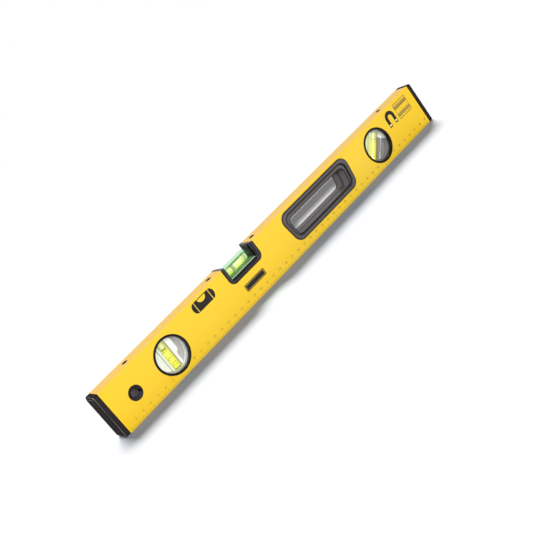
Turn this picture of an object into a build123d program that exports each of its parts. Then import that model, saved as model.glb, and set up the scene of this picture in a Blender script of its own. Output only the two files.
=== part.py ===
from build123d import *
from math import cos, hypot, radians, sin, tan
import os

# Spirit level, in millimetres. X runs along the level, the front looks along -Y and Z is up.
# The origin is the middle of the base face, which the level stands on.

# ---------------------------------------------------------------- driving dimensions

# Extruded body
overall_length = 500.0
body_depth = 21.0
body_height = 49.0
flange_wall = 2.2
web_wall = 1.6
body_edge_radius = 0.6
groove_width = 0.7
groove_depth = 0.25
lower_groove_height = 11.8
upper_groove_drop = 2.1

# Clearance of a moulding in its hole, and of a loose piece in its pocket
fit_clearance = 0.1

# End caps
cap_thickness = 6.8
cap_base_gap = 0.2
cap_end_bevel = 1.6
cap_side_bevel = 3.4
cap_top_bevel = 1.8
cap_base_bevel = 2.6
cap_corner_chamfer = 1.0
cap_plug_length = 12.0
cap_plug_wall = 1.8

# Hand hole and its two-part liner
grip_window_gap = 24.8
grip_bottom = 10.2
grip_top = 46.1
grip_bottom_width = 100.0
grip_top_width = 110.8
grip_corner_radius = 10.0
grip_corner_loss = 0.6
grip_proud = 0.8
grip_lip_overlap = 2.0
grip_lip_width = 4.8
grip_tier_depth = 1.6
grip_tier_wall = 2.0
grip_throat_inset = 8.0
grip_throat_ceiling = 9.4
grip_floor_front = 5.4
grip_floor_middle = 6.6
grip_floor_back = 7.8
grip_throat_wall = 1.8
grip_middle_draft = 2.0
grip_back_draft = 4.6
grip_edge_chamfer = 0.5

# Hanging hole bush, in a front and a back half
hang_from_end = 34.3
hang_height = 24.1
hang_flange_radius = 7.5
hang_collar_radius = 6.6
hang_bore_radius = 4.2
hang_mouth_radius = 5.9
hang_mouth_depth = 1.4
hang_proud = 0.5
hang_notch_places = ((-3.8, -0.9), (3.7, -0.1))
hang_notch_length = 5.8
hang_notch_width = 1.5
hang_notch_depth = 3.0
hang_notch_angle = -41.5

# Round windows of the plumb vial (left) and the diagonal vial (right)
window_from_end = 84.3
window_height = 24.4
window_radius = 17.4
bezel_radius = 19.6
bezel_proud = 0.6
bezel_edge_radius = 0.35
collar_wall = 0.75
lens_ledge = 0.4
lens_recess = 3.0
lens_thickness = 1.4
collar_guide = 0.5
carrier_ring_wall = 1.45
carrier_plate_half = 1.2
carrier_land_half = 3.0
land_upper = 11.0
land_lower = 7.5
land_curve_top = 0.2
land_curve_bottom = -5.9
left_land_width = 2.4
backing_half = 1.0
diagonal_tilt = 45.0

# Round vials: places along the vial's axis are counted from the window's centre
barrel_radius = 4.6
barrel_bore_radius = 3.7
barrel_low_end = -15.5
barrel_high_end = 15.2
barrel_end_wall = 1.2
round_plug_length = 6.9
round_lines_centre = -1.8
round_line_places = (-9.3, -6.8, 6.8, 9.3)
round_bubble_length = 12.0

# Block vial in the top face: places along its axis are counted from the saddle's centre
saddle_centre = -50.25
saddle_width = 47.4
saddle_bottom = 28.7
saddle_corner_radius = 7.0
saddle_proud = 0.6
saddle_lip_overlap = 1.2
saddle_opening_width = 38.4
saddle_opening_bottom = 31.2
saddle_opening_radius = 4.5
saddle_inner_chamfer = 0.9
saddle_outer_chamfer = 0.35
block_low_end = -18.75
block_high_end = 18.25
block_depth = 12.0
block_bottom = 34.0
block_height = 12.0
block_edge_chamfer = 0.4
block_bore_radius = 4.35
block_end_wall = 3.5
block_plug_length = 7.5
reflector_thickness = 0.6
top_line_places = (-9.4, -8.2, 8.2, 9.4)
top_bubble_length = 15.0
bracket_arm_reach = 4.4
bracket_wall = 2.2

# Vials in general
line_width = 0.35
line_thickness = 0.08
bubble_gap = 0.45
bubble_void_gap = 0.05
bubble_end_share = 0.96
plug_gap = 0.02
plug_chamfer = 0.3

# Countersunk screws through the top face
top_screw_reach = (34.95, 31.15)
plumb_screw_reach = 36.4
diagonal_screw_reach = 33.9
screw_head_radius = 2.4
screw_shank_radius = 1.45
screw_head_angle = 90.0
screw_length = 8.6
screw_sunk = 0.15
screw_drive_width = 0.5
screw_drive_length = 2.4
screw_drive_depth = 0.7
screw_gap = 0.08
boss_radius = 3.6
boss_length = 10.5
arm_depth = 11.0
arm_thickness = 5.0

# Magnets let into the base
magnet_from_end = 45.0
magnet_spacing = 95.0
magnet_radius = 4.9
magnet_thickness = 3.1
magnet_sunk = 0.1
cup_wall = 1.3
cup_roof = 1.5

# ---------------------------------------------------------------- derived sizes

half_length = overall_length / 2
tube_length = overall_length - 2 * cap_thickness
hang_position = hang_from_end - half_length
window_offset = half_length - window_from_end
grip_half = max(grip_top_width, grip_bottom_width) / 2
grip_centre = window_offset - bezel_radius - grip_window_gap - grip_half
outer_magnet = half_length - magnet_from_end
inner_magnet = outer_magnet - magnet_spacing
magnet_places = (-outer_magnet, -inner_magnet, inner_magnet, outer_magnet)
top_vial_screws = (saddle_centre - top_screw_reach[0], saddle_centre + top_screw_reach[1])
carrier_screws = (-window_offset - plumb_screw_reach, window_offset + diagonal_screw_reach)
web_face = body_depth / 2
inner_half_depth = web_face - web_wall
inner_top = body_height - flange_wall
lens_radius = window_radius + lens_ledge
collar_radius = lens_radius + fit_clearance + collar_wall
window_hole_radius = collar_radius + fit_clearance
bezel_face = web_face + bezel_proud
lens_face = bezel_face - lens_recess
lens_back = lens_face - lens_thickness
carrier_inner_radius = lens_radius - carrier_ring_wall
slot_half = barrel_radius + fit_clearance
saddle_face = web_face + saddle_proud
notch_half = saddle_width / 2 - saddle_lip_overlap
notch_bottom = saddle_bottom + saddle_lip_overlap
notch_radius = saddle_corner_radius - saddle_lip_overlap
saddle_seat = block_bottom - reflector_thickness
block_centre_height = block_bottom + block_height / 2
grip_face = web_face + grip_proud
screw_places = top_vial_screws + carrier_screws
screw_head_slope = tan(radians(screw_head_angle / 2))

front_view = Plane.XZ


# ---------------------------------------------------------------- helpers

def save(piece, name):
    """Label a finished piece and write its STEP file."""
    piece.part.label = name
    export_step(piece.part, f"parts/{name}.step")


def mirrored(source, name):
    """Write the back twin of a front piece."""
    with BuildPart() as twin:
        mirror(source.part, about=Plane.XZ)
    save(twin, name)
    return twin


def cylinder(plane, start, end, radius, mode=Mode.ADD):
    """A round bar along the plane's normal, from start to end."""
    with BuildSketch(plane.offset(start)) as disc:
        Circle(radius)
    extrude(disc.sketch, amount=end - start, mode=mode)


def slab(profile, thickness, mode=Mode.ADD):
    """A sketch raised by its thickness along its own normal."""
    extrude(profile, amount=thickness, mode=mode)


# ---------------------------------------------------------------- profiles

def grip_profile(plane, inset, end_draft=0.0, low_inset=None, high_inset=None):
    """Rounded trapezoid of the hand hole, smaller by inset and shorter by end_draft.

    Its lower and upper sides can be set in by amounts of their own.
    """
    low_inset = inset if low_inset is None else low_inset
    high_inset = inset if high_inset is None else high_inset
    slope = (grip_top_width - grip_bottom_width) / 2 / (grip_top - grip_bottom)
    side_inset = inset * hypot(1, slope) + end_draft
    half_top = grip_top_width / 2 - side_inset - slope * high_inset
    half_bottom = grip_bottom_width / 2 - side_inset + slope * low_inset
    low = grip_bottom + low_inset
    high = grip_top - high_inset
    with BuildSketch(plane) as profile:
        with BuildLine():
            Polyline(
                (grip_centre - half_bottom, low),
                (grip_centre + half_bottom, low),
                (grip_centre + half_top, high),
                (grip_centre - half_top, high),
                close=True,
            )
        make_face()
        fillet(profile.vertices(), grip_corner_radius - grip_corner_loss * inset)
    return profile.sketch


def saddle_profile(plane, half_width, bottom, top, corner):
    """The saddle's outline: square at the top and rounded at the two lower corners."""
    with BuildSketch(plane) as profile:
        with Locations((saddle_centre, bottom)):
            Rectangle(2 * half_width, top - bottom, align=(Align.CENTER, Align.MIN))
        fillet(profile.vertices().group_by(Axis.Y)[0], corner)
    return profile.sketch


def land_edge(shift):
    """Right-hand edge of the raised land, as an S-curve, moved to the right by shift."""
    return (
        (land_lower + shift, -lens_radius),
        (land_lower + shift, land_curve_bottom),
        (land_upper + shift, land_curve_top),
        (land_upper + shift, lens_radius),
    )


def land_profile(plane, left, right_shift, radius):
    """Area between x = left and the S-curved edge, inside a circle."""
    foot, curve_low, curve_high, head = land_edge(right_shift)
    with BuildSketch(plane) as profile:
        with BuildLine():
            Line((left, foot[1]), foot)
            Line(foot, curve_low)
            Spline(curve_low, curve_high, tangents=[(0, 1), (0, 1)])
            Line(curve_high, head)
            Line(head, (left, head[1]))
            Line((left, head[1]), (left, foot[1]))
        make_face()
        Circle(radius, mode=Mode.INTERSECT)
    return profile.sketch


def window_plane(side, tilt):
    """View plane of a round window, turned clockwise by tilt: its y runs along the vial."""
    turn = radians(tilt)
    return Plane(
        origin=(side * window_offset, 0, window_height),
        x_dir=(cos(turn), 0, -sin(turn)),
        z_dir=(0, -1, 0),
    )


def vial_axis_plane(side, tilt):
    """Plane square to a round vial, so that its normal runs up the vial."""
    turn = radians(tilt)
    return Plane(
        origin=(side * window_offset, 0, window_height),
        x_dir=(0, 1, 0),
        z_dir=(sin(turn), 0, cos(turn)),
    )


top_axis_plane = Plane(
    origin=(saddle_centre, 0, block_centre_height), x_dir=(0, 1, 0), z_dir=(1, 0, 0)
)


# ---------------------------------------------------------------- body

def make_body_tube():
    """Box-section extrusion with its windows, hand hole, notch, screw and magnet holes."""
    with BuildPart() as body_tube:
        with BuildSketch(Plane.YZ.offset(-tube_length / 2)) as section:
            Rectangle(body_depth, body_height, align=(Align.CENTER, Align.MIN))
            fillet(section.vertices(), body_edge_radius)
            with Locations((0, flange_wall)):
                Rectangle(
                    2 * inner_half_depth,
                    inner_top - flange_wall,
                    align=(Align.CENTER, Align.MIN),
                    mode=Mode.SUBTRACT,
                )
            groove_heights = (lower_groove_height, body_height - upper_groove_drop)
            with Locations([(side * web_face, z) for side in (-1, 1) for z in groove_heights]):
                Rectangle(2 * groove_depth, groove_width, mode=Mode.SUBTRACT)
        extrude(amount=tube_length)
        for side in (-1, 1):
            cylinder(window_plane(side, 0), -body_depth, body_depth, window_hole_radius, Mode.SUBTRACT)
        hang_plane = Plane(
            origin=(hang_position, 0, hang_height), x_dir=(1, 0, 0), z_dir=(0, -1, 0)
        )
        hang_hole = hang_collar_radius + fit_clearance
        cylinder(hang_plane, -body_depth, body_depth, hang_hole, Mode.SUBTRACT)
        hand_hole = grip_profile(front_view.offset(-body_depth), grip_lip_overlap)
        slab(hand_hole, 2 * body_depth, Mode.SUBTRACT)
        notch = saddle_profile(
            front_view.offset(-body_depth), notch_half, notch_bottom, 2 * body_height, notch_radius
        )
        slab(notch, 2 * body_depth, Mode.SUBTRACT)
        with Locations(*[Location((x, 0, body_height)) for x in screw_places]):
            CounterSinkHole(
                radius=screw_shank_radius + screw_gap,
                counter_sink_radius=screw_head_radius + screw_gap + screw_sunk * screw_head_slope,
                depth=flange_wall,
                counter_sink_angle=screw_head_angle,
            )
        for x in magnet_places:
            base_spot = Plane.XY.move(Location((x, 0, 0)))
            hole_radius = magnet_radius + fit_clearance
            cylinder(base_spot, -flange_wall, flange_wall, hole_radius, Mode.SUBTRACT)
    save(body_tube, "body_tube")


def make_end_cap():
    """Bevelled end cap with a hollow plug that slides into the tube."""
    cap_height = body_height - cap_base_gap
    shoulder = tube_length / 2
    with BuildPart() as right_end_cap:
        with BuildSketch(Plane.YZ.offset(shoulder)) as outline:
            with Locations((0, cap_base_gap)):
                Rectangle(body_depth, cap_height, align=(Align.CENTER, Align.MIN))
            chamfer(outline.vertices(), cap_corner_chamfer)
        slab(outline.sketch, cap_thickness - cap_end_bevel)
        with BuildSketch(Plane.YZ.offset(shoulder + cap_thickness - cap_end_bevel)) as rim:
            with Locations((0, cap_base_gap)):
                Rectangle(body_depth, cap_height, align=(Align.CENTER, Align.MIN))
            chamfer(rim.vertices(), cap_corner_chamfer)
        with BuildSketch(Plane.YZ.offset(shoulder + cap_thickness)) as end_face:
            with Locations((0, cap_base_gap + cap_base_bevel)):
                Rectangle(
                    body_depth - 2 * cap_side_bevel,
                    cap_height - cap_base_bevel - cap_top_bevel,
                    align=(Align.CENTER, Align.MIN),
                )
            chamfer(end_face.vertices(), cap_corner_chamfer)
        loft(sections=[rim.sketch, end_face.sketch])
        with BuildSketch(Plane.YZ.offset(shoulder - cap_plug_length)) as plug:
            with Locations((0, flange_wall + fit_clearance)):
                plug_depth = 2 * (inner_half_depth - fit_clearance)
                plug_height = inner_top - flange_wall - 2 * fit_clearance
                Rectangle(plug_depth, plug_height, align=(Align.CENTER, Align.MIN))
            with Locations((0, flange_wall + fit_clearance + cap_plug_wall)):
                Rectangle(
                    plug_depth - 2 * cap_plug_wall,
                    plug_height - 2 * cap_plug_wall,
                    align=(Align.CENTER, Align.MIN),
                    mode=Mode.SUBTRACT,
                )
        slab(plug.sketch, cap_plug_length)
    save(right_end_cap, "right_end_cap")
    with BuildPart() as left_end_cap:
        mirror(right_end_cap.part, about=Plane.YZ)
    save(left_end_cap, "left_end_cap")


# ---------------------------------------------------------------- hand hole liner

def make_hand_grip(mouth_draft, middle_draft, mouth_floor):
    """One half of the liner: a stepped lip, a collar in the web and a drafted throat.

    The throat's floor rises from the front to the back, and its ceiling is level.
    """
    middle = front_view
    tier_floor = grip_face - grip_tier_depth
    with BuildPart() as grip:
        slab(grip_profile(middle.offset(web_face), 0), grip_proud)
        chamfer(grip.faces().sort_by(Axis.Y)[0].edges(), grip_edge_chamfer)
        collar = grip_profile(
            middle.offset(tier_floor - grip_tier_wall), grip_lip_overlap + fit_clearance
        )
        slab(collar, web_face + grip_tier_wall - tier_floor)
        wall = grip_profile(
            middle,
            grip_throat_inset - grip_throat_wall,
            low_inset=min(mouth_floor, grip_floor_middle) - grip_throat_wall,
            high_inset=grip_throat_ceiling - grip_throat_wall,
        )
        slab(wall, tier_floor)
        tier = grip_profile(middle.offset(tier_floor), grip_lip_width)
        slab(tier, grip_face, Mode.SUBTRACT)
        throat_mouth = grip_profile(
            middle.offset(grip_face),
            grip_throat_inset,
            mouth_draft,
            mouth_floor,
            grip_throat_ceiling,
        )
        throat_end = grip_profile(
            middle, grip_throat_inset, middle_draft, grip_floor_middle, grip_throat_ceiling
        )
        loft(sections=[throat_end, throat_mouth], mode=Mode.SUBTRACT)
        inner_edges = grip.faces().sort_by(Axis.Y)[0].inner_wires()[0].edges()
        chamfer(inner_edges, grip_edge_chamfer)
    return grip


def make_hand_grips():
    """The front half, and the back half whose throat narrows on from the front one's."""
    hand_grip_front = make_hand_grip(0.0, grip_middle_draft, grip_floor_front)
    save(hand_grip_front, "hand_grip_front")
    back_half = make_hand_grip(grip_back_draft, grip_middle_draft, grip_floor_back)
    mirrored(back_half, "hand_grip_back")


# ---------------------------------------------------------------- hanging hole bush

def make_hanging_bushes():
    """Flanged half-bush with a flared mouth and two slots, and its twin at the back."""
    plane = Plane(origin=(hang_position, 0, hang_height), x_dir=(1, 0, 0), z_dir=(0, -1, 0))
    face = web_face + hang_proud
    with BuildPart() as hanging_bush_front:
        cylinder(plane, 0, web_face, hang_collar_radius)
        cylinder(plane, web_face, face, hang_flange_radius)
        chamfer(hanging_bush_front.faces().sort_by(Axis.Y)[0].edges(), hang_proud / 2)
        cylinder(plane, 0, face, hang_bore_radius, Mode.SUBTRACT)
        with BuildSketch(plane.offset(face - hang_mouth_depth)) as throat:
            Circle(hang_bore_radius)
        with BuildSketch(plane.offset(face)) as mouth:
            Circle(hang_mouth_radius)
        loft(sections=[throat.sketch, mouth.sketch], mode=Mode.SUBTRACT)
        with BuildSketch(plane.offset(face - hang_notch_depth)) as notches:
            with Locations(*hang_notch_places):
                Rectangle(hang_notch_length, hang_notch_width, rotation=hang_notch_angle)
        slab(notches.sketch, hang_notch_depth, Mode.SUBTRACT)
    save(hanging_bush_front, "hanging_bush_front")
    mirrored(hanging_bush_front, "hanging_bush_back")


# ---------------------------------------------------------------- parts shared by all vials

def make_liquid(plane, start, end, radius, bubble_start, bubble_end, name):
    """Liquid that fills a chamber, with the hollow that its bubble takes up at rest."""
    void_radius = radius - bubble_gap + bubble_void_gap
    with BuildPart() as bubble_void:
        cylinder(plane, bubble_start - bubble_void_gap, bubble_end + bubble_void_gap, void_radius)
        fillet(bubble_void.edges().filter_by(GeomType.CIRCLE), void_radius * bubble_end_share)
    with BuildPart() as liquid:
        cylinder(plane, start + plug_gap, end - plug_gap, radius - line_thickness - plug_gap)
        add(bubble_void.part, mode=Mode.SUBTRACT)
    save(liquid, name)


def make_bubble(plane, radius, bubble_start, bubble_end, name):
    """Air bubble: a round-ended bar that floats along the chamber."""
    bubble_radius = radius - bubble_gap
    with BuildPart() as bubble:
        cylinder(plane, bubble_start, bubble_end, bubble_radius)
        fillet(bubble.edges().filter_by(GeomType.CIRCLE), bubble_radius * bubble_end_share)
    save(bubble, name)


def make_lines(plane, radius, centre, places, name):
    """Reading lines: thin rings printed on the wall of the chamber."""
    with BuildPart() as lines:
        for place in places:
            low = centre + place - line_width / 2
            with BuildSketch(plane.offset(low)) as ring:
                Circle(radius)
                Circle(radius - line_thickness, mode=Mode.SUBTRACT)
            slab(ring.sketch, line_width)
    save(lines, name)


def make_plug(plane, start, end, radius, name):
    """Plug that closes the open end of a chamber."""
    with BuildPart() as plug:
        cylinder(plane, start, end, radius - plug_gap)
        chamfer(plug.edges().filter_by(GeomType.CIRCLE), plug_chamfer)
    save(plug, name)


# ---------------------------------------------------------------- round vial units

def make_bezel(plane, name):
    """Black ring that lines the window and holds the lens against its ledge."""
    with BuildPart() as bezel:
        cylinder(plane, web_face, bezel_face, bezel_radius)
        fillet(bezel.edges().filter_by(GeomType.CIRCLE).sort_by(Axis.Y)[0], bezel_edge_radius)
        cylinder(plane, lens_back - collar_guide, web_face, collar_radius)
        cylinder(plane, lens_face, bezel_face, window_radius, Mode.SUBTRACT)
        seat_radius = lens_radius + fit_clearance
        cylinder(plane, lens_back - collar_guide, lens_face, seat_radius, Mode.SUBTRACT)
    save(bezel, f"{name}_bezel_front")
    mirrored(bezel, f"{name}_bezel_back")


def make_lens(plane, name):
    """Clear disc between the bezel's ledge and the carrier's ring."""
    with BuildPart() as lens:
        cylinder(plane, lens_back, lens_face, lens_radius)
    save(lens, f"{name}_lens_front")
    mirrored(lens, f"{name}_lens_back")


def make_carrier(plane, side, screw_x, name):
    """Ring with a middle plate, a slot for the vial, raised lands and an arm to the top screw."""
    upright = window_plane(side, 0)
    screw_offset = screw_x - side * window_offset
    arm_low = inner_top - window_height - boss_length
    with BuildPart() as carrier:
        with BuildSketch(upright.offset(-arm_depth / 2)) as arm:
            with Locations((screw_offset / 2, arm_low)):
                Rectangle(abs(screw_offset), arm_thickness, align=(Align.CENTER, Align.MIN))
        slab(arm.sketch, arm_depth)
        boss_foot = Plane.XY.offset(inner_top - boss_length).move(Location((screw_x, 0, 0)))
        cylinder(boss_foot, 0, boss_length, boss_radius)
        cylinder(boss_foot, 0, boss_length, screw_shank_radius + screw_gap, Mode.SUBTRACT)
        cylinder(plane, -lens_back, lens_back, lens_radius)
        cylinder(plane, -lens_back, lens_back, carrier_inner_radius, Mode.SUBTRACT)
        plate = land_profile(
            plane.offset(-carrier_plate_half), -2 * lens_radius, 0, carrier_inner_radius
        )
        slab(plate, 2 * carrier_plate_half)
        right_land = land_profile(
            plane.offset(-carrier_land_half), slot_half, 0, carrier_inner_radius
        )
        slab(right_land, 2 * carrier_land_half)
        with BuildSketch(plane.offset(-carrier_land_half)) as left_land:
            with Locations((-slot_half, 0)):
                Rectangle(left_land_width, 2 * lens_radius, align=(Align.MAX, Align.CENTER))
            Circle(carrier_inner_radius, mode=Mode.INTERSECT)
        slab(left_land.sketch, 2 * carrier_land_half)
        with BuildSketch(plane.offset(-lens_back)) as slot:
            with Locations((0, barrel_low_end - fit_clearance)):
                Rectangle(
                    2 * slot_half,
                    barrel_high_end - barrel_low_end + 2 * fit_clearance,
                    align=(Align.CENTER, Align.MIN),
                )
        slab(slot.sketch, 2 * lens_back, Mode.SUBTRACT)
    save(carrier, f"{name}_carrier")


def make_backing(plane, name):
    """Grey plate that fills the carrier's opening beside the raised land."""
    radius = carrier_inner_radius - fit_clearance
    with BuildPart() as backing:
        cylinder(plane, -backing_half, backing_half, radius)
        covered = land_profile(
            plane.offset(-lens_back), -2 * lens_radius, fit_clearance, lens_radius
        )
        slab(covered, 2 * lens_back, Mode.SUBTRACT)
    save(backing, f"{name}_backing")


def make_barrel(axis_plane, name):
    """Clear vial: a thick round tube closed at its lower end."""
    with BuildPart() as barrel:
        cylinder(axis_plane, barrel_low_end, barrel_high_end, barrel_radius)
        chamfer(barrel.edges().filter_by(GeomType.CIRCLE), plug_chamfer)
        bore_start = barrel_low_end + barrel_end_wall
        cylinder(axis_plane, bore_start, barrel_high_end, barrel_bore_radius, Mode.SUBTRACT)
    save(barrel, f"{name}_vial")


def make_round_unit(name, side, tilt, screw_x):
    """Everything that belongs to one round window."""
    plane = window_plane(side, tilt)
    axis_plane = vial_axis_plane(side, tilt)
    chamber_low = barrel_low_end + barrel_end_wall
    chamber_high = barrel_high_end - round_plug_length
    bubble_high = chamber_high - bubble_gap
    bubble_low = bubble_high - round_bubble_length
    radius = barrel_bore_radius
    make_bezel(plane, name)
    make_lens(plane, name)
    make_carrier(plane, side, screw_x, name)
    make_backing(plane, name)
    make_barrel(axis_plane, name)
    make_plug(axis_plane, chamber_high, barrel_high_end, radius, f"{name}_vial_plug")
    make_liquid(
        axis_plane, chamber_low, chamber_high, radius, bubble_low, bubble_high, f"{name}_liquid"
    )
    make_bubble(axis_plane, radius, bubble_low, bubble_high, f"{name}_bubble")
    make_lines(axis_plane, radius, round_lines_centre, round_line_places, f"{name}_lines")


# ---------------------------------------------------------------- block vial unit

def make_top_saddle():
    """Frame that drops into the notch: lips on both faces and a pocket for the block."""
    pocket_half_depth = block_depth / 2 + fit_clearance
    above = 2 * body_height
    with BuildPart() as saddle:
        body_half = notch_half - fit_clearance
        body_low = notch_bottom + fit_clearance
        body_profile = saddle_profile(
            front_view.offset(-web_face), body_half, body_low, body_height, notch_radius
        )
        slab(body_profile, 2 * web_face)
        for lip_start in (web_face, -saddle_face):
            lip = saddle_profile(
                front_view.offset(lip_start),
                saddle_width / 2,
                saddle_bottom,
                body_height,
                saddle_corner_radius,
            )
            slab(lip, saddle_proud)
        for opening_start in (pocket_half_depth, -saddle_face):
            opening = saddle_profile(
                front_view.offset(opening_start),
                saddle_opening_width / 2,
                saddle_opening_bottom,
                above,
                saddle_opening_radius,
            )
            slab(opening, saddle_face - pocket_half_depth, Mode.SUBTRACT)
        with BuildSketch(front_view.offset(-pocket_half_depth)) as pocket:
            with Locations((saddle_centre + block_low_end - fit_clearance, saddle_seat)):
                Rectangle(
                    block_high_end - block_low_end + 2 * fit_clearance,
                    above,
                    align=(Align.MIN, Align.MIN),
                )
        slab(pocket.sketch, 2 * pocket_half_depth, Mode.SUBTRACT)
        reach = saddle_opening_width / 2 + fit_clearance
        for face in (saddle.faces().sort_by(Axis.Y)[0], saddle.faces().sort_by(Axis.Y)[-1]):
            inner = face.edges().filter_by(
                lambda edge: abs(edge.center().X - saddle_centre) < reach
                and edge.center().Z > saddle_opening_bottom - fit_clearance
                and edge.center().Z < body_height - fit_clearance
            )
            chamfer(inner, saddle_inner_chamfer)
        for face in (saddle.faces().sort_by(Axis.Y)[0], saddle.faces().sort_by(Axis.Y)[-1]):
            outer = face.edges().filter_by(
                lambda edge: abs(edge.center().X - saddle_centre) > reach + saddle_inner_chamfer
                or edge.center().Z < saddle_opening_bottom - saddle_inner_chamfer - fit_clearance
            )
            outer = outer.filter_by(lambda edge: edge.center().Z < body_height - fit_clearance)
            chamfer(outer, saddle_outer_chamfer)
    save(saddle, "top_vial_saddle")


def make_top_bracket():
    """Bracket inside the tube: a tray under the saddle with two arms and screw bosses."""
    inner_left = saddle_centre - notch_half
    inner_right = saddle_centre + notch_half
    outer_left = inner_left - bracket_wall
    outer_right = inner_right + bracket_wall
    left_end = min(top_vial_screws) - bracket_arm_reach
    right_end = max(top_vial_screws) + bracket_arm_reach
    arm_low = inner_top - bracket_wall
    half_depth = inner_half_depth - fit_clearance
    with BuildPart() as bracket:
        with BuildSketch(front_view.offset(-half_depth)) as hat:
            with BuildLine():
                Polyline(
                    (left_end, inner_top),
                    (inner_left, inner_top),
                    (inner_left, notch_bottom),
                    (inner_right, notch_bottom),
                    (inner_right, inner_top),
                    (right_end, inner_top),
                    (right_end, arm_low),
                    (outer_right, arm_low),
                    (outer_right, notch_bottom - bracket_wall),
                    (outer_left, notch_bottom - bracket_wall),
                    (outer_left, arm_low),
                    (left_end, arm_low),
                    close=True,
                )
            make_face()
        slab(hat.sketch, 2 * half_depth)
        for x in top_vial_screws:
            boss_foot = Plane.XY.offset(inner_top - boss_length).move(Location((x, 0, 0)))
            cylinder(boss_foot, 0, boss_length, boss_radius)
            cylinder(boss_foot, 0, boss_length, screw_shank_radius + screw_gap, Mode.SUBTRACT)
    save(bracket, "top_vial_bracket")


def make_top_block():
    """Clear block with a blind bore along the level."""
    with BuildPart() as block:
        with BuildSketch(top_axis_plane.offset(block_low_end)) as section:
            Rectangle(block_depth, block_height)
            chamfer(section.vertices(), block_edge_chamfer)
        slab(section.sketch, block_high_end - block_low_end)
        bore_start = block_low_end + block_end_wall
        cylinder(top_axis_plane, bore_start, block_high_end, block_bore_radius, Mode.SUBTRACT)
    save(block, "top_vial_block")


def make_top_reflector():
    """White strip between the block and the saddle's seat."""
    with BuildPart() as reflector:
        with BuildSketch(Plane.XY.offset(saddle_seat)):
            with Locations((saddle_centre + block_low_end, 0)):
                Rectangle(
                    block_high_end - block_low_end, block_depth, align=(Align.MIN, Align.CENTER)
                )
        extrude(amount=reflector_thickness)
    save(reflector, "top_vial_reflector")


def make_top_unit():
    """Everything that belongs to the block vial in the top face."""
    chamber_low = block_low_end + block_end_wall
    chamber_high = block_high_end - block_plug_length
    bubble_low = -top_bubble_length / 2
    bubble_high = top_bubble_length / 2
    radius = block_bore_radius
    plane = top_axis_plane
    make_top_saddle()
    make_top_bracket()
    make_top_block()
    make_top_reflector()
    make_plug(plane, chamber_high, block_high_end, radius, "top_vial_plug")
    make_liquid(
        plane, chamber_low, chamber_high, radius, bubble_low, bubble_high, "top_vial_liquid"
    )
    make_bubble(plane, radius, bubble_low, bubble_high, "top_vial_bubble")
    make_lines(plane, radius, 0, top_line_places, "top_vial_lines")


# ---------------------------------------------------------------- fasteners and magnets

def make_screws():
    """Countersunk screws with a cross recess, one over each boss."""
    head_top = body_height - screw_sunk
    head_height = (screw_head_radius - screw_shank_radius) / screw_head_slope
    with BuildPart() as screws:
        for x in screw_places:
            spot = Plane.XY.offset(head_top).move(Location((x, 0, 0)))
            cylinder(spot, -screw_length, 0, screw_shank_radius)
            with BuildSketch(spot.offset(-head_height)) as neck:
                Circle(screw_shank_radius)
            with BuildSketch(spot) as head:
                Circle(screw_head_radius)
            loft(sections=[neck.sketch, head.sketch])
            with BuildSketch(spot.offset(-screw_drive_depth)) as drive:
                Rectangle(screw_drive_length, screw_drive_width)
                Rectangle(screw_drive_width, screw_drive_length)
            slab(drive.sketch, screw_drive_depth, Mode.SUBTRACT)
    save(screws, "vial_fixing_screws")


def make_magnets():
    """Disc magnets just under the base face."""
    with BuildPart() as magnets:
        for x in magnet_places:
            spot = Plane.XY.offset(magnet_sunk).move(Location((x, 0, 0)))
            cylinder(spot, 0, magnet_thickness, magnet_radius)
    save(magnets, "base_magnets")


def make_magnet_cups():
    """Cups that hold the magnets from inside the tube."""
    pocket_roof = magnet_sunk + magnet_thickness
    with BuildPart() as cups:
        for x in magnet_places:
            spot = Plane.XY.move(Location((x, 0, 0)))
            cylinder(spot, flange_wall, pocket_roof + cup_roof, magnet_radius + cup_wall)
            pocket_radius = magnet_radius + fit_clearance
            cylinder(spot, flange_wall, pocket_roof, pocket_radius, Mode.SUBTRACT)
    save(cups, "magnet_cups")


os.makedirs("parts", exist_ok=True)
make_body_tube()
make_end_cap()
make_hand_grips()
make_hanging_bushes()
make_top_unit()
make_round_unit("plumb", -1, 0.0, carrier_screws[0])
make_round_unit("diagonal", 1, diagonal_tilt, carrier_screws[1])
make_screws()
make_magnets()
make_magnet_cups()
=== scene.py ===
import math

import bpy
import numpy as np
from bpy.props import FloatProperty, FloatVectorProperty, IntProperty, PointerProperty
from mathutils import Matrix, Vector


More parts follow.
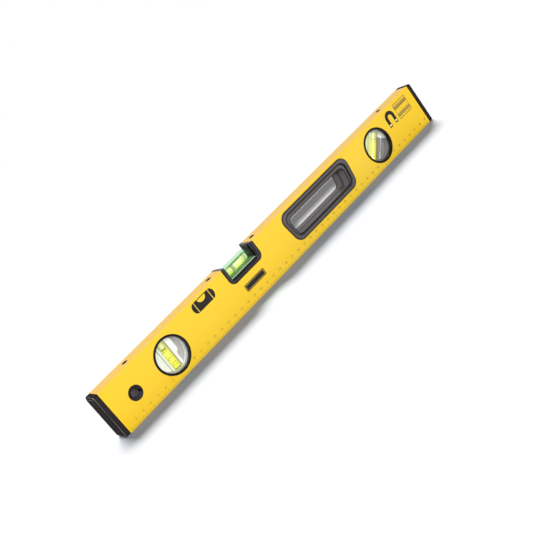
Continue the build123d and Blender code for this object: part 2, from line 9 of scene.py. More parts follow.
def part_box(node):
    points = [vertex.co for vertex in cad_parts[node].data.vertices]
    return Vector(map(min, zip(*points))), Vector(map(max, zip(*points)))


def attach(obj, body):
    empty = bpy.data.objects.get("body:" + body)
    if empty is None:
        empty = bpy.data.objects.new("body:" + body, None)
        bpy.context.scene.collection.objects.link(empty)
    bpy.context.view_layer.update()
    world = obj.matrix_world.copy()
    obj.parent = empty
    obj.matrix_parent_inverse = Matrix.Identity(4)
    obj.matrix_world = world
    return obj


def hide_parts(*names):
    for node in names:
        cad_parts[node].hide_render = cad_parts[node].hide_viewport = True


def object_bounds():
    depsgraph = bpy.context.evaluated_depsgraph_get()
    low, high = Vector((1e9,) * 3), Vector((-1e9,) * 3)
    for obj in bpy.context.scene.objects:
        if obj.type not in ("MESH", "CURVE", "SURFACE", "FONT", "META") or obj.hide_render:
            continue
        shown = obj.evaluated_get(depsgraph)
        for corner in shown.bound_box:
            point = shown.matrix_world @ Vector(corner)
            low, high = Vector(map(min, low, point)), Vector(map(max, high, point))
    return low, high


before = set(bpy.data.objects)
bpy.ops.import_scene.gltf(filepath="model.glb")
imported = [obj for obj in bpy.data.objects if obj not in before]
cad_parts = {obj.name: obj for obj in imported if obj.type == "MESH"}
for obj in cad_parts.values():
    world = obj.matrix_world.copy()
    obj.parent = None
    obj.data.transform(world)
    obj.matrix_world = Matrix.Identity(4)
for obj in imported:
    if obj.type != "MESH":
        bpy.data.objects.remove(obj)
CAD_LOW, CAD_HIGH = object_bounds()

bl_info = {
    "name": "Spirit Level",
    "version": (1, 0, 0),
    "blender": (4, 5, 0),
    "location": "View3D > Sidebar > Spirit Level",
    "description": "Finishes, printed marks, vials and studio for a box-section spirit level",
    "category": "Object",
}

MM = 0.001
BODY = "level"
BODY_LOW, BODY_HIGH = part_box("body_tube")
FRONT = BODY_LOW.y
BASE = BODY_LOW.z
LEVEL_LENGTH = CAD_HIGH.x - CAD_LOW.x
WHITE = (1.0, 1.0, 1.0, 1.0)
BLACK = (0.0, 0.0, 0.0, 1.0)

# Colours of the small parts
BLACK_OXIDE = "2A1408"
NICKEL = "C9C7C2"
CLEAR = "FFFFFF"
CLEAR_PLUG = "F0FAE4"

# Real sizes of the patterns in the finishes
HIGHLIGHT_BREAK_PATCH = 14 * MM
TONE_PATCH = 18 * MM
CARRIER_MOTTLE = 5 * MM
CLEAR_RIPPLE = 5 * MM
DYE_SWIRL = 4 * MM
AIR_SWIRL = 2 * MM
INK_MOTTLE = 1.5 * MM

# Rays per point for the rounded edges and shaded corners
EDGE_SAMPLES = 6

# Rims further out than this along the level get a painted highlight, over this width
RIM_HIGHLIGHT_FROM = LEVEL_LENGTH / 2 - 2.2 * MM
RIM_HIGHLIGHT_WIDTH = 0.5 * MM

# Nodes that come back often, with their settings, and the colour sockets of a Mix node
MIX = ("ShaderNodeMix", {"data_type": "RGBA"})
MULTIPLY = ("ShaderNodeMath", {"operation": "MULTIPLY"})
MAXIMUM = ("ShaderNodeMath", {"operation": "MAXIMUM"})
MINIMUM = ("ShaderNodeMath", {"operation": "MINIMUM"})
ABSOLUTE = ("ShaderNodeMath", {"operation": "ABSOLUTE"})
ABOVE = ("ShaderNodeMath", {"operation": "GREATER_THAN"})
REDUCE = ("ShaderNodeMath", {"operation": "SUBTRACT", "use_clamp": True})
RAMP = ("ShaderNodeMapRange", {"interpolation_type": "LINEAR"})
SOFT_RAMP = ("ShaderNodeMapRange", {"interpolation_type": "SMOOTHSTEP"})
NOISE = ("ShaderNodeTexNoise", {"noise_dimensions": "3D"})
FIRST, SECOND, MIXED = 6, 7, 2


# ------------------------------------------------------------------ helpers

def node_centre(node):
    """Middle of a CAD node's box."""
    low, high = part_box(node)
    return (low + high) / 2


def linear(hex_colour):
    """sRGB hex to linear: c / 12.92 below 0.04045, otherwise ((c + 0.055) / 1.055) ^ 2.4."""
    channels = [int(hex_colour[i:i + 2], 16) / 255 for i in (0, 2, 4)]
    return tuple(c / 12.92 if c <= 0.04045 else ((c + 0.055) / 1.055) ** 2.4 for c in channels)


def rgba(colour):
    """A linear colour with full alpha, as the node sockets want it."""
    return (*tuple(colour)[:3], 1.0)


def add_node(tree, kind, settings=None, inputs=None):
    """Adds one node with its settings; an input is a value, a socket, or a node's first output."""
    node = tree.nodes.new(kind)
    for name, value in (settings or {}).items():
        setattr(node, name, value)
    for name, value in (inputs or {}).items():
        if isinstance(value, bpy.types.Node):
            value = value.outputs[0]
        if isinstance(value, bpy.types.NodeSocket):
            tree.links.new(value, node.inputs[name])
        else:
            node.inputs[name].default_value = value
    return node


def span(low, high, first=0.0, last=1.0):
    """Inputs of a ramp that goes from first to last while its value goes from low to high."""
    return {"From Min": low, "From Max": high, "To Min": first, "To Max": last}


def pattern(coords, size, detail=2.0, roughness=0.5):
    """Inputs of a noise whose patches have a real size."""
    return {"Vector": coords, "Scale": 1 / size, "Detail": detail, "Roughness": roughness}


def new_material(name):
    """An empty node material, with its tree and its Object coordinates."""
    material = bpy.data.materials.new(name)
    material.use_nodes = True
    tree = material.node_tree
    tree.nodes.clear()
    return material, tree, add_node(tree, "ShaderNodeTexCoord").outputs["Object"]


def surfaced(material, shader):
    """Puts a shader on the material's surface, and gives the material."""
    add_node(material.node_tree, "ShaderNodeOutputMaterial", inputs={"Surface": shader})
    return material


def finish_nodes(slot_name, material, *nodes):
    """Gives CAD nodes their finish."""
    for node in nodes:
        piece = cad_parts[node]
        piece.data.materials.clear()
        piece.data.materials.append(material)


def add_object(name, data):
    """A new object in the scene, at the origin."""
    item = bpy.data.objects.new(name, data)
    bpy.context.scene.collection.objects.link(item)
    return item


def mesh_object(name, vertices, faces, material):
    """A new mesh object from whole arrays, at the origin."""
    mesh = bpy.data.meshes.new(name)
    mesh.from_pydata(np.asarray(vertices).tolist(), [], [list(face) for face in faces])
    mesh.validate()
    mesh.materials.append(material)
    return add_object(name, mesh)


def make_piece(name, vertices, faces, material, slot_name, smooth=False):
    """A new mesh piece, riding on the level."""
    piece = mesh_object(name, vertices, faces, material)
    piece.data.shade_smooth() if smooth else piece.data.shade_flat()
    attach(piece, BODY)
    return piece


def prisms(outlines, front, depth):
    """Flat prints: each outline is an (n, 2) array of x and z, counter-clockwise from the front.

    The front loop lies at y = front - depth, the back loop at y = front, and quads join them."""
    vertices, faces, start = [], [], 0
    for outline in outlines:
        outline = np.asarray(outline, float)
        count = len(outline)
        near = np.column_stack([outline[:, 0], np.full(count, front - depth), outline[:, 1]])
        far = near + np.array([0.0, depth, 0.0])
        vertices.append(np.vstack([near, far]))
        i = np.arange(count)
        j = (i + 1) % count
        faces.append(tuple(start + i))
        faces.append(tuple(start + count + i[::-1]))
        faces.extend(map(tuple, np.column_stack([i, i + count, j + count, j]) + start))
        start += 2 * count
    return np.vstack(vertices), faces


def box_outline(x0, x1, z0, z1):
    """Rectangle from (x0, z0) to (x1, z1)."""
    return np.array([(x0, z0), (x1, z0), (x1, z1), (x0, z1)])


def arc(cx, cz, radius, start, end, count):
    """Points at centre + radius * (cos t, sin t), for t from start to end in degrees."""
    t = np.radians(np.linspace(start, end, count))
    return np.column_stack([cx + radius * np.cos(t), cz + radius * np.sin(t)])


def rounded_outline(x0, x1, z0, z1, radius, count=6):
    """Rectangle with each corner replaced by a quarter circle."""
    return np.vstack([
        arc(x0 + radius, z0 + radius, radius, 180, 270, count),
        arc(x1 - radius, z0 + radius, radius, 270, 360, count),
        arc(x1 - radius, z1 - radius, radius, 0, 90, count),
        arc(x0 + radius, z1 - radius, radius, 90, 180, count),
    ])


def tilted(tilt):
    """Axes of a round window: u to the right and v up, both turned clockwise by the tilt."""
    return (Vector((math.cos(tilt), 0.0, -math.sin(tilt))),
            Vector((math.sin(tilt), 0.0, math.cos(tilt))))


def column(start, end, radius, rounding=0.5 * MM, count=48):
    """Closed round bar: rings of radius r(s) about a line, with quarter-round rims.

    Near each end r = radius - rounding * (1 - sin t) and s = rounding * (1 - cos t), and one
    point closes it."""
    axis = end - start
    length = axis.length
    axis = axis.normalized()
    across = axis.cross(Vector((0.0, 1.0, 0.0))).normalized()
    side = across.cross(axis).normalized()
    t = np.linspace(0, math.pi / 2, 5)
    s_rise = rounding * (1 - np.cos(t))
    r_rise = radius - rounding * (1 - np.sin(t))
    s = np.concatenate([s_rise, length - s_rise[::-1]])
    r = np.concatenate([r_rise, r_rise[::-1]])
    angle = np.linspace(0, 2 * math.pi, count, endpoint=False)
    around = np.cos(angle)[:, None] * np.array(across) + np.sin(angle)[:, None] * np.array(side)
    rings = (np.array(start) + s[:, None, None] * np.array(axis)
             + r[:, None, None] * around[None])
    vertices = np.vstack([rings.reshape(-1, 3), [list(start)], [list(end)]])
    i = np.arange(len(s) - 1)[:, None] * count
    j = np.arange(count)[None, :]
    k = (j + 1) % count
    quads = np.stack([i + j, i + count + j, i + count + k, i + k], -1).reshape(-1, 4)
    low, high, last = len(s) * count, len(s) * count + 1, (len(s) - 1) * count
    j, k = j.ravel(), k.ravel()
    fans = [*np.column_stack([np.full(count, low), j, k]).tolist(),
            *np.column_stack([np.full(count, high), last + k, last + j]).tolist()]
    return vertices, [*quads.tolist(), *fans]


# ------------------------------------------------------------------ materials

def edge_lean(tree, reach):
    """Normal rounded over reach at an edge, and its dot product with the flat one."""
    rounded = add_node(tree, "ShaderNodeBevel", {"samples": EDGE_SAMPLES}, {"Radius": reach})
    flat = add_node(tree, "ShaderNodeNewGeometry")
    lean = add_node(tree, "ShaderNodeVectorMath", {"operation": "DOT_PRODUCT"},
                    {0: rounded, 1: flat.outputs["True Normal"]})
    return rounded, lean.outputs["Value"]


def edge_shade(tree, colour, reach, darkest, hollow):
    """Paints shade near edges and in inner corners, and gives the softened normal there.

    Edge = how far the rounded normal leans from the flat one; corner = how much of the view out
    is shut off within the distance called hollow."""
    rounded, lean = edge_lean(tree, reach)
    edge = add_node(tree, *RAMP, {"Value": lean, **span(0.96, 0.9995, darkest)})
    shut = add_node(tree, "ShaderNodeAmbientOcclusion", {"samples": EDGE_SAMPLES},
                    {"Distance": hollow})
    corner = add_node(tree, *RAMP, {"Value": shut.outputs["AO"], **span(0.55, 0.97, darkest)})
    both = add_node(tree, *MULTIPLY, {0: edge, 1: corner})
    shaded = add_node(tree, *MIX, {"Factor": both, FIRST: BLACK, SECOND: colour})
    return shaded.outputs[MIXED], rounded


def rubbed_rims(tree, coords, colour, tone):
    """Lightens the outermost rims: a painted highlight.

    Factor = lean of the rounded normal from the flat one, broken up by a slow noise."""
    place = add_node(tree, "ShaderNodeSeparateXYZ", inputs={0: coords})
    out = add_node(tree, *ABSOLUTE, {0: place.outputs["X"]})
    far = add_node(tree, *ABOVE, {0: out, 1: RIM_HIGHLIGHT_FROM})
    _, lean = edge_lean(tree, RIM_HIGHLIGHT_WIDTH)
    edge = add_node(tree, *RAMP, {"Value": lean, **span(0.97, 0.9995, 1.0, 0.0)})
    patch = add_node(tree, *NOISE, pattern(coords, HIGHLIGHT_BREAK_PATCH, 1.0))
    highlight_breaks = add_node(tree, *RAMP, {"Value": patch, **span(0.38, 0.62, 0.1)})
    both = add_node(tree, *MULTIPLY, {0: edge, 1: highlight_breaks})
    share = add_node(tree, *MULTIPLY, {0: both, 1: far})
    highlighted = add_node(tree, *MIX, {"Factor": share, FIRST: colour, SECOND: rgba(tone)})
    return highlighted.outputs[MIXED]


def screw_places():
    """Middles of the screw heads, from the CAD node's points, parted by gaps along the level."""
    gap = 8 * MM
    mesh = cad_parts["vial_fixing_screws"].data
    points = np.zeros(len(mesh.vertices) * 3)
    mesh.vertices.foreach_get("co", points)
    points = points.reshape(-1, 3)
    points = points[np.argsort(points[:, 0])]
    groups = np.split(points, np.flatnonzero(np.diff(points[:, 0]) > gap) + 1)
    return [(group.min(0) + group.max(0)) / 2 for group in groups]


def powder_coated_aluminium(settings):
    """Polyester powder coat baked on an aluminium extrusion: even satin film, slight orange peel.

    The coat is painted paler over the middle of the length, by 1 - (x / half length) ^ 4: a
    painted sheen, standing in for a veil of reflection there. The countersinks in the top face
    are painted black round their screws: painted shade in the recesses."""
    material, tree, coords = new_material("powder_coated_aluminium")
    place = add_node(tree, "ShaderNodeSeparateXYZ", inputs={0: coords})
    # Painted sheen: share of the paler colour, 1 - (x / half length) ^ 4, broken up by a cloud
    power = add_node(tree, "ShaderNodeMath", {"operation": "DIVIDE"},
                     {0: place.outputs["X"], 1: settings.pale_half_length})
    for _ in range(2):
        power = add_node(tree, *MULTIPLY, {0: power, 1: power})
    paler = add_node(tree, *REDUCE, {0: 1.0, 1: power})
    cloud = add_node(tree, *NOISE, pattern(coords, settings.cloud_size, 3.0, 0.55))
    share = add_node(tree, "ShaderNodeMath", {"operation": "MULTIPLY", "use_clamp": True},
                     {0: paler, 1: cloud})
    tint = add_node(tree, *MIX, {
        "Factor": share, FIRST: rgba(settings.paint), SECOND: rgba(settings.paint_pale)})
    flat = add_node(tree, "ShaderNodeCombineXYZ",
                    inputs={"X": place.outputs["X"], "Y": place.outputs["Y"]})
    nearest = None
    for middle in screw_places():
        away = add_node(tree, "ShaderNodeVectorMath", {"operation": "DISTANCE"},
                        {0: flat, 1: (middle[0], middle[1], 0.0)}).outputs["Value"]
        if nearest is not None:
            away = add_node(tree, *MINIMUM, {0: nearest, 1: away})
        nearest = away
    # Painted shade: a black ring in each countersink round its screw
    rim, blur, skin = settings.countersink, 0.2 * MM, 2 * MM
    ring = add_node(tree, *RAMP, {"Value": nearest, **span(rim, rim + blur, 1.0, 0.0)})
    upper = add_node(tree, *ABOVE, {0: place.outputs["Z"], 1: BODY_HIGH.z - skin})
    black = add_node(tree, *MULTIPLY, {0: ring, 1: upper})
    tint = add_node(tree, *MIX, {
        "Factor": black, FIRST: tint.outputs[MIXED], SECOND: rgba(settings.countersink_tone)})
    peel = add_node(tree, *NOISE, pattern(coords, settings.peel_size))
    bump = add_node(tree, "ShaderNodeBump", inputs={
        "Strength": 0.12, "Distance": 0.05 * MM, "Height": peel})
    return surfaced(material, add_node(tree, "ShaderNodeBsdfPrincipled", inputs={
        "Base Color": tint.outputs[MIXED], "Roughness": settings.roughness, "IOR": 1.48,
        "Normal": bump}))


def moulded_plastic(name, plastics, colour, roughness, streak=0.12, shine=0.5, darkest=1.0,
                    reach=2.4 * MM, hollow=3.5 * MM, highlighted=None):
    """Injection-moulded thermoplastic with a spark-eroded grain; patches differ a little in tone.

    Rims and inner corners go down to the darkest share: painted shade. The rims at the level's
    two ends can get a lighter tone: a painted highlight."""
    material, tree, coords = new_material(name)
    grain = add_node(tree, *NOISE, pattern(coords, plastics.grain_size, roughness=0.6))
    patch = add_node(tree, *NOISE, pattern(coords, TONE_PATCH))
    darker = tuple(c * (1 - streak) for c in colour)
    lighter = tuple(min(1.0, c * (1 + streak)) for c in colour)
    base = add_node(tree, *MIX, {
        "Factor": patch, FIRST: rgba(darker), SECOND: rgba(lighter)}).outputs[MIXED]
    spread = 0.05
    gloss = add_node(tree, *RAMP, {
        "Value": grain, **span(0.0, 1.0, roughness - spread, roughness + spread)})
    bump = add_node(tree, "ShaderNodeBump", inputs={
        "Strength": 0.35, "Distance": plastics.grain_depth, "Height": grain})
    # Painted shade on rims and in inner corners
    if darkest < 1.0:
        base, rounded = edge_shade(tree, base, reach, darkest, hollow)
        tree.links.new(rounded.outputs["Normal"], bump.inputs["Normal"])
    # Painted highlight on the rims at the level's two ends
    if highlighted is not None:
        base = rubbed_rims(tree, coords, base, highlighted)
    return surfaced(material, add_node(tree, "ShaderNodeBsdfPrincipled", inputs={
        "Base Color": base, "Roughness": gloss, "IOR": 1.5, "Specular IOR Level": shine,
        "Normal": bump}))


def carrier_plastic(name, plastics, centre, tilt, shaded):
    """White ABS carrier, drawn glowing softly round the vial: painted light, for the light that
    reaches it through the clear parts.

    Tones follow the window's own axes: painted dye light on the near land and, if asked, painted
    shade on the far one, with its top end painted lit again. Edges and inner corners get painted
    shade. Each step blends a colour in over a stretch, given in millimetres along an axis."""
    material, tree, coords = new_material(name)
    turned = add_node(tree, "ShaderNodeMapping", {"vector_type": "TEXTURE"}, {
        "Vector": coords, "Location": tuple(centre), "Rotation": (0.0, tilt, 0.0)})
    place = add_node(tree, "ShaderNodeSeparateXYZ", inputs={0: turned})
    speckle = add_node(tree, *NOISE, pattern(coords, CARRIER_MOTTLE))
    tone = add_node(tree, *MIX, {
        "Factor": speckle, FIRST: rgba(plastics.land), SECOND: rgba(plastics.land_shade)})
    # Painted light and shade: dye light on the near land, shade on the far land, its top end lit
    steps = (("X", -13.0, -7.0, 0.75 if shaded else 0.22, plastics.land_glow),
             ("X", 2.0, 4.8, 1.0, plastics.backing if shaded else plastics.land),
             ("Z", 10.0, 12.0, 0.9 if shaded else 0.0, plastics.land))
    for axis, low, high, most, colour in steps:
        share = add_node(tree, *SOFT_RAMP, {
            "Value": place.outputs[axis], **span(low * MM, high * MM, 0.0, most)})
        tone = add_node(tree, *MIX, {
            "Factor": share, FIRST: tone.outputs[MIXED], SECOND: rgba(colour)})
    base, rounded = edge_shade(tree, tone.outputs[MIXED], reach=0.35 * MM, darkest=0.55,
                               hollow=1.0 * MM)
    bump = add_node(tree, "ShaderNodeBump", inputs={
        "Strength": 0.2, "Distance": plastics.grain_depth, "Height": speckle, "Normal": rounded})
    # Painted light: the carrier glows a little in its own colour
    return surfaced(material, add_node(tree, "ShaderNodeBsdfPrincipled", inputs={
        "Base Color": base, "Roughness": 0.25, "Normal": bump, "Emission Color": base,
        "Emission Strength": 0.08 if shaded else 0.06}))


def clear_moulding(name, tint, edge_tint, dye=None, dye_share=0.0):
    """Polished clear acrylic: nothing is lost straight through, and the rims gather tint.

    Gloss grows with angle, on the faces where light goes in. A wall that carries the light of
    the dye inside it glows with that share of the dye's colour, less towards its middle and rims:
    painted light."""
    material, tree, coords = new_material(name)
    facing = add_node(tree, "ShaderNodeLayerWeight", inputs={"Blend": 0.35}).outputs["Facing"]
    behind = add_node(tree, "ShaderNodeNewGeometry").outputs["Backfacing"]
    toned = add_node(tree, *MIX, {"Factor": facing, FIRST: rgba(tint), SECOND: rgba(edge_tint)})
    body = add_node(tree, "ShaderNodeBsdfTransparent", inputs={"Color": toned.outputs[MIXED]})
    ripple = add_node(tree, *NOISE, pattern(coords, CLEAR_RIPPLE, 1.0))
    bump = add_node(tree, "ShaderNodeBump", inputs={
        "Strength": 0.15, "Distance": 0.05 * MM, "Height": ripple})
    gloss = add_node(tree, "ShaderNodeBsdfGlossy", inputs={
        "Color": WHITE, "Roughness": 0.02, "Normal": bump})
    if dye is not None:
        # Painted light: the wall glows in the dye's colour
        carried = add_node(tree, "ShaderNodeBsdfPrincipled", inputs={
            "Base Color": rgba(dye), "Roughness": 0.2, "Emission Color": rgba(dye),
            "Emission Strength": 0.3})
        middle = add_node(tree, *RAMP, {
            "Value": facing, **span(0.12, 0.35, 0.2 * dye_share, dye_share)})
        rim = add_node(tree, *RAMP, {
            "Value": facing, **span(0.45, 0.85, dye_share, 0.15 * dye_share)})
        inward = add_node(tree, *MINIMUM, {0: middle, 1: rim})
        outside = add_node(tree, *REDUCE, {0: inward, 1: behind})
        body = add_node(tree, "ShaderNodeMixShader", inputs={0: outside, 1: body, 2: carried})
    edge = add_node(tree, "ShaderNodeFresnel", inputs={"IOR": 1.49})
    rays = add_node(tree, "ShaderNodeLightPath")
    bare = add_node(tree, "ShaderNodeMath", {"operation": "ADD"},
                    {0: rays.outputs["Is Shadow Ray"], 1: behind})
    lit = add_node(tree, *REDUCE, {0: edge, 1: bare})
    return surfaced(material, add_node(tree, "ShaderNodeMixShader", inputs={
        0: lit, 1: body, 2: gloss}))


def dyed_spirit(name, colour, glow, share, deep=None, bands=(), middle=0.0, radius=1.0):
    """Fluorescent dyed spirit: the near side of its column is part clear, the far side solid.

    The dye glows, partly as fluorescent dye does in daylight and partly as painted light, and goes
    to the deep colour at the column's edges. Bands are given instead where a block bends the
    colours, as painted light and shade: pairs of a height, from 0 at the column's underside to 1 at
    its top, and a colour."""
    material, tree, coords = new_material(name)
    if bands:
        place = add_node(tree, "ShaderNodeSeparateXYZ", inputs={0: coords})
        height = add_node(tree, *RAMP, {
            "Value": place.outputs["Z"], **span(middle - radius, middle + radius)})
        ramp = add_node(tree, "ShaderNodeValToRGB", inputs={"Fac": height})
        stops = ramp.color_ramp.elements
        for place_up, _ in bands[1:-1]:
            stops.new(place_up)
        for stop, (_, hex_colour) in zip(stops, bands):
            stop.color = rgba(linear(hex_colour))
        toned = ramp.outputs["Color"]
    else:
        swirl = add_node(tree, *NOISE, pattern(coords, DYE_SWIRL, 1.0))
        facing = add_node(tree, "ShaderNodeLayerWeight", inputs={"Blend": 0.4})
        depth = add_node(tree, "ShaderNodeMath", {"operation": "MULTIPLY_ADD", "use_clamp": True},
                         {0: swirl, 1: 0.25, 2: facing.outputs["Facing"]})
        toned = add_node(tree, *MIX, {
            "Factor": depth, FIRST: rgba(colour), SECOND: rgba(deep)}).outputs[MIXED]
    # Painted light, in part: the dye's emission
    dye = add_node(tree, "ShaderNodeBsdfPrincipled", inputs={
        "Base Color": toned, "Roughness": 0.12, "IOR": 1.36, "Emission Color": toned,
        "Emission Strength": glow})
    pale = tuple(c ** 0.25 for c in colour)
    through = add_node(tree, "ShaderNodeBsdfTransparent", inputs={"Color": rgba(pale)})
    side = add_node(tree, "ShaderNodeNewGeometry")
    solid = add_node(tree, *MAXIMUM, {0: side.outputs["Backfacing"], 1: share})
    return surfaced(material, add_node(tree, "ShaderNodeMixShader", inputs={
        0: solid, 1: through, 2: dye}))


def air_pocket(name, colour, meniscus_shade, node, axis):
    """Air bubble in a vial: pale and glowing a little, as painted light, with a dark ring of
    painted shade at each end, where the liquid curves away, and round its outline.

    Share of the ring's tone = a ramp over |distance from the bubble's middle along its axis| /
    half length."""
    material, tree, coords = new_material(name)
    low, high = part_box(node)
    centre = (low + high) / 2
    corner = high - centre
    below = Vector((corner.x, 0.0, -corner.z))
    half = max(abs(corner.dot(axis)), abs(below.dot(axis)))
    moved = add_node(tree, "ShaderNodeVectorMath", {"operation": "SUBTRACT"},
                     {0: coords, 1: tuple(centre)})
    along = add_node(tree, "ShaderNodeVectorMath", {"operation": "DOT_PRODUCT"},
                     {0: moved, 1: tuple(axis)})
    out = add_node(tree, *ABSOLUTE, {0: along.outputs["Value"]})
    share = add_node(tree, "ShaderNodeMath", {"operation": "DIVIDE"}, {0: out, 1: half})
    # Painted shade: dark ring at each end and round the outline
    ring = add_node(tree, *SOFT_RAMP, {"Value": share, **span(0.66, 0.82)})
    facing = add_node(tree, "ShaderNodeLayerWeight", inputs={"Blend": 0.35})
    rim = add_node(tree, *SOFT_RAMP, {
        "Value": facing.outputs["Facing"], **span(0.55, 0.9, 0.0, 0.6)})
    both = add_node(tree, *MAXIMUM, {0: ring, 1: rim})
    toned = add_node(tree, *MIX, {
        "Factor": both, FIRST: rgba(colour), SECOND: rgba(meniscus_shade)}).outputs[MIXED]
    swirl = add_node(tree, *NOISE, pattern(coords, AIR_SWIRL, 1.0))
    bump = add_node(tree, "ShaderNodeBump", inputs={
        "Strength": 0.2, "Distance": 0.01 * MM, "Height": swirl})
    return surfaced(material, add_node(tree, "ShaderNodeBsdfPrincipled", inputs={
        "Base Color": toned, "Roughness": 0.1, "Normal": bump, "Emission Color": toned,
        "Emission Strength": 0.15}))


def screen_print(name, colour, wear):
    """Screen-printed ink on the powder coat: matt, a little thinner in places."""
    material, tree, coords = new_material(name)
    mottle = add_node(tree, *NOISE, pattern(coords, INK_MOTTLE, 3.0, 0.6))
    paler = tuple(c + (1 - c) * wear for c in colour)
    tint = add_node(tree, *MIX, {"Factor": mottle, FIRST: rgba(colour), SECOND: rgba(paler)})
    return surfaced(material, add_node(tree, "ShaderNodeBsdfPrincipled", inputs={
        "Base Color": tint.outputs[MIXED], "Roughness": 0.6, "IOR": 1.48,
        "Specular IOR Level": 0.06}))


def worked_metal(name, colour, roughness, scratch_size, bare=1.0):
    """Metal from the lathe or the plating bath, with fine marks; an oxide film isn't bare metal."""
    material, tree, coords = new_material(name)
    marks = add_node(tree, *NOISE, pattern(coords, scratch_size))
    spread = 0.08
    gloss = add_node(tree, *RAMP, {
        "Value": marks, **span(0.0, 1.0, roughness - spread, roughness + spread)})
    return surfaced(material, add_node(tree, "ShaderNodeBsdfPrincipled", inputs={
        "Base Color": rgba(colour), "Metallic": bare, "Roughness": gloss,
        "Specular IOR Level": 0.5 if bare else 0.0}))


# ------------------------------------------------------------------ settings

def colour_property(name, description, hex_colour):
    """A colour setting whose default is an sRGB hex value."""
    return FloatVectorProperty(name=name, description=description, subtype="COLOR", size=3,
                               min=0.0, max=1.0, default=linear(hex_colour))


def length_property(name, description, millimetres):
    """A length setting in metres."""
    return FloatProperty(name=name, description=description, subtype="DISTANCE", unit="LENGTH",
                         precision=5, default=millimetres * MM)


def angle_property(name, description, degrees):
    """An angle setting."""
    return FloatProperty(name=name, description=description, subtype="ANGLE",
                         default=math.radians(degrees))


def share_property(name, description, share):
    """A setting from 0 to 1."""
    return FloatProperty(name=name, description=description, default=share, min=0.0, max=1.0)


def strength_property(name, description, strength, least=0.0):
    """A setting from the least value up."""
    return FloatProperty(name=name, description=description, default=strength, min=least)


class LevelPaintSettings(bpy.types.PropertyGroup):
    """Powder coat of the body."""

    paint: colour_property("Paint", "Colour of the powder coat at the ends", "FACB0C")
    # Painted sheen: the paler colour over the middle of the length
    paint_pale: colour_property("Pale paint", "Colour where the film is thickest", "FAD548")
    pale_half_length: length_property("Pale half length", "Half the paler stretch", 262.0)
    cloud_size: length_property("Cloud size", "Size of the soft variation in tone", 90.0)
    peel_size: length_property("Orange peel size", "Drawn coarser than its real 0.3 mm", 0.9)
    countersink: length_property("Countersink", "Radius that is blackened round each screw", 3.15)
    # Painted shade in the countersinks
    countersink_tone: colour_property("Countersink tone", "Colour of the blackened rings", "1E0C04")
    roughness: share_property("Roughness", "Roughness of the coat", 0.36)


class LevelPlasticSettings(bpy.types.PropertyGroup):
    """Opaque mouldings."""

    cap: colour_property("Caps", "Colour of the end caps", "2F2B2D")
    # Painted highlight on the caps' outermost rims
    cap_rim: colour_property("Cap rims", "Colour of the end caps' rubbed rims", "B4AEAA")
    grip: colour_property("Grip", "Colour of the hand hole liner", "676264")
    saddle: colour_property("Saddle", "Colour of the saddle and the hidden parts", "4A474E")
    bush: colour_property("Bush", "Colour of the hanging bush", "363136")
    ring: colour_property("Rings", "Colour of the round windows' rings", "120D0A")
    land: colour_property("Carriers", "Colour of the white vial carriers", "FAFAF8")
    land_shade: colour_property("Carrier shade", "Colour of their duller patches", "E2E4DC")
    land_glow: colour_property("Carrier glow", "Colour that dye throws on carriers", "EEF092")
    # The two backings are one grey plastic, painted in a shaded tone (diagonal) and a lit one
    # (plumb)
    backing: colour_property("Diagonal backing", "Colour of the diagonal backing plate", "928C8E")
    plumb_backing: colour_property("Plumb backing", "Colour of the plumb backing plate", "B4AEAC")
    grain_size: length_property("Grain size", "Grain, drawn at twice its real 0.3 mm", 0.6)
    grain_depth: length_property("Grain depth", "Height of the grain", 0.03)


class LevelVialSettings(bpy.types.PropertyGroup):
    """Liquids and clear mouldings."""

    yellow: colour_property("Yellow liquid", "Colour of the round windows' liquid", "F6F380")
    yellow_deep: colour_property("Deep yellow", "Colour at the edges of its column", "E9EA6C")
    yellow_air: colour_property("Air in yellow", "Colour of the round windows' bubbles", "FEFEDC")
    yellow_rim: colour_property("Meniscus in yellow", "Colour at those bubbles' ends", "727A20")
    green: colour_property("Green liquid", "Tint of light through the top vial's liquid", "F4F7B4")
    green_air: colour_property("Air in green", "Colour of the bubble in the top vial", "FFFDF2")
    green_rim: colour_property("Meniscus in green", "Colour at that bubble's ends", "1E4A16")
    block: colour_property("Block", "Tint of the clear block", "FAFFF6")
    block_edge: colour_property("Block edge", "Tint of the block towards its rims", "92DEA6")
    strip: colour_property("Strip", "Colour of the strip under the block", "C6DABC")
    clear: colour_property("Clear plastic", "Tint of the lenses towards their rims", "E4EFE6")
    tube_edge: colour_property("Tube edge", "Tint of the round vials at their rims", "D8DFC8")
    tube_dye: colour_property("Tube dye light", "Colour that the dye throws on its tube", "F2EE6C")
    # Painted light: the plugs' colour and glow stand in for the dye's light through them
    plug: colour_property("Plug", "Colour of the round vials' plugs", "F4F6C4")
    line: colour_property("Lines", "Colour of the reading lines", "1E2200")


class LevelScaleSettings(bpy.types.PropertyGroup):
    """Centimetre scale printed along the lower edge of the front."""

    ink: colour_property("Scale ink", "Colour of the ticks and numbers", "A07414")
    tick_width: length_property("Tick width", "Width of each tick", 0.22)
    tick_start: length_property("Tick start", "Height of the ticks' lower ends", 0.9)
    short_tick: length_property("Short tick", "Length of the millimetre ticks", 1.5)
    middle_tick: length_property("Middle tick", "Length of the 5 mm ticks", 2.3)
    long_tick: length_property("Long tick", "Length of the centimetre ticks", 3.2)
    number_height: length_property("Number height", "Height of the numbers", 2.5)
    number_level: length_property("Number level", "Height of the numbers' middle line", 6.8)
    number_shift: length_property("Number shift", "How far numbers stand left of their ticks", 1.0)
    print_depth: length_property("Ink thickness", "How far the print stands proud", 0.03)
    centimetres: IntProperty(name="Centimetres", description="Last centimetre of the scale",
                             default=int(round(LEVEL_LENGTH / (10 * MM))) - 1, min=1)


